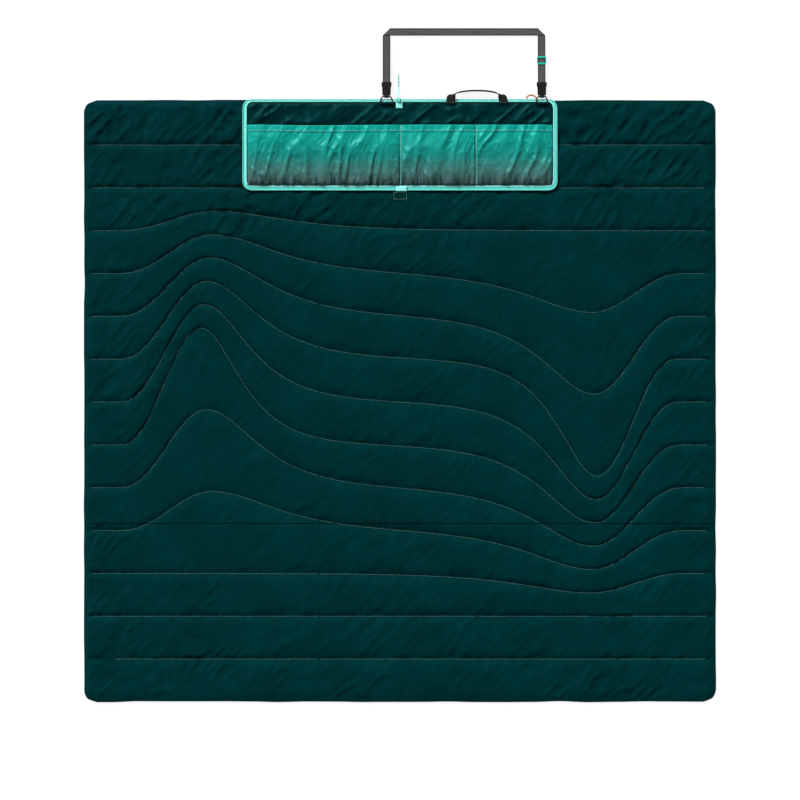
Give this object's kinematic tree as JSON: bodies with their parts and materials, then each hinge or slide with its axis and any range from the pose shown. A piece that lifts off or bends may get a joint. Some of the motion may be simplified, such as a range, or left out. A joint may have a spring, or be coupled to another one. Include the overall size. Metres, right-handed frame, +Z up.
{
  "type": "quilted picnic mat with carry strap",
  "caption": "Square quilted ground mat with wavy stitching, a zipped panel of three open pockets, a webbing carry strap and a grab handle.",
  "frame": {"origin": "middle of the mat's underside, which lies flat on the ground", "axes": "+X to the right across the mat, +Y along the mat towards the pocket panel and strap, +Z up out of the quilted face"},
  "size_m": [1.575, 1.6803, 0.0234],
  "materials": {
    "top_cloth": "smooth woven shell with a soft sheen",
    "back_cloth": "coated woven back, matt",
    "fill": "loose polyester wadding",
    "panel_cloth": "smooth woven cloth",
    "zip_tape": "ribbed woven tape",
    "zip_bright": "bright coil and grosgrain edge",
    "pocket_cloth": "shiny thin ripstop, fading to grey at the bottom",
    "strap_web": "ribbed flat webbing",
    "black_web": "ribbed flat webbing",
    "pull_cord": "braided cord",
    "tan_cord": "braided cord",
    "clip_plastic": "moulded with ribs",
    "adjuster_plastic": "moulded, smooth",
    "slider_metal": "painted die casting",
    "ring_wire": "dark lacquered wire"
  },
  "bodies": {
    "right_half": {"back_shell_right": "back_cloth", "fill_right": "fill", "top_shell_right": "top_cloth", "panel_cloth_right": "panel_cloth", "zip_teeth_right": "zip_bright", "zip_tape_right": "zip_tape", "zip_binding_right": "zip_bright", "pocket_front_right": "pocket_cloth", "zip_top_tab": "zip_bright", "zip_end_stop": "zip_bright", "zip_bottom_tab": "panel_cloth", "ring_sleeve_right": "black_web", "cord_loop": "tan_cord"},
    "left_half": {"back_shell_left": "back_cloth", "fill_left": "fill", "top_shell_left": "top_cloth", "panel_cloth_left": "panel_cloth", "zip_teeth_left": "zip_bright", "zip_tape_left": "zip_tape", "zip_binding_left": "zip_bright", "pocket_front_left": "pocket_cloth", "ring_sleeve_left": "black_web"},
    "side_left": {"back_shell_side_left": "back_cloth", "fill_side_left": "fill", "top_shell_side_left": "top_cloth"},
    "side_right": {"back_shell_side_right": "back_cloth", "fill_side_right": "fill", "top_shell_side_right": "top_cloth"},
    "ring_right": {"ring_right": "ring_wire"},
    "ring_left": {"ring_left": "ring_wire"},
    "strap": {"clip_right": "clip_plastic", "strap_web_right": "strap_web", "strap_web_return": "strap_web"},
    "strap_left_end": {"clip_left": "clip_plastic", "strap_web_left": "strap_web"},
    "adjuster": {"adjuster": "adjuster_plastic"},
    "slider": {"zip_slider": "slider_metal"},
    "pull": {"pull_cord": "pull_cord", "pull_grip": "pull_cord"},
    "handle": {"handle_web": "black_web"}
  },
  "joints": [
    {"name": "side_fold_left", "type": "hinge", "parent": "left_half", "child": "side_left", "pos_m": [-0.396, 0, -0.0003], "axis": [0, -1, 0], "range_deg": [0, 179.9]},
    {"name": "book_fold", "type": "hinge", "parent": "right_half", "child": "left_half", "pos_m": [-0.0005, 0, -0.0143], "axis": [0, -1, 0], "range_deg": [0, 179.9]},
    {"name": "side_fold_right", "type": "hinge", "parent": "right_half", "child": "side_right", "pos_m": [0.396, 0, -0.0003], "axis": [0, 1, 0], "range_deg": [0, 179.9]},
    {"name": "ring_right_swing", "type": "hinge", "parent": "right_half", "child": "ring_right", "pos_m": [0.3528, 0.7405, 0.018], "axis": [-1, 0, 0], "range_deg": [-110, 0]},
    {"name": "ring_left_swing", "type": "hinge", "parent": "left_half", "child": "ring_left", "pos_m": [-0.0336, 0.7405, 0.018], "axis": [-1, 0, 0], "range_deg": [-110, 0]},
    {"name": "strap_swing", "type": "hinge", "parent": "ring_right", "child": "strap", "pos_m": [0.3528, 0.7575, 0.018], "axis": [-1, 0, 0], "range_deg": [-75, 0]},
    {"name": "strap_fold", "type": "hinge", "parent": "strap", "child": "strap_left_end", "pos_m": [-0.0005, 0.9, -0.0143], "axis": [0, -1, 0], "range_deg": [0, 179.9]},
    {"name": "adjuster_slide", "type": "slide", "parent": "strap", "child": "adjuster", "axis": [0, 0.9954, -0.0958], "range_m": [0, 0.045]},
    {"name": "zip_slider_run", "type": "slide", "parent": "right_half", "child": "slider", "axis": [1, 0, 0], "range_m": [0, 0.1]},
    {"name": "pull_flip", "type": "hinge", "parent": "slider", "child": "pull", "pos_m": [-0.0037, 0.7475, 0.0206], "axis": [1, 0, 0], "range_deg": [0, 150]},
    {"name": "handle_flip", "type": "hinge", "parent": "right_half", "child": "handle", "pos_m": [0.19125, 0.7406, 0.0162], "axis": [1, 0, 0], "range_deg": [0, 150]}
  ],
  "couplings": [
    {"joint": "ring_left_swing", "follows": "ring_right_swing", "ratio": 1},
    {"joint": "strap_fold", "follows": "book_fold", "ratio": 1}
  ]
}
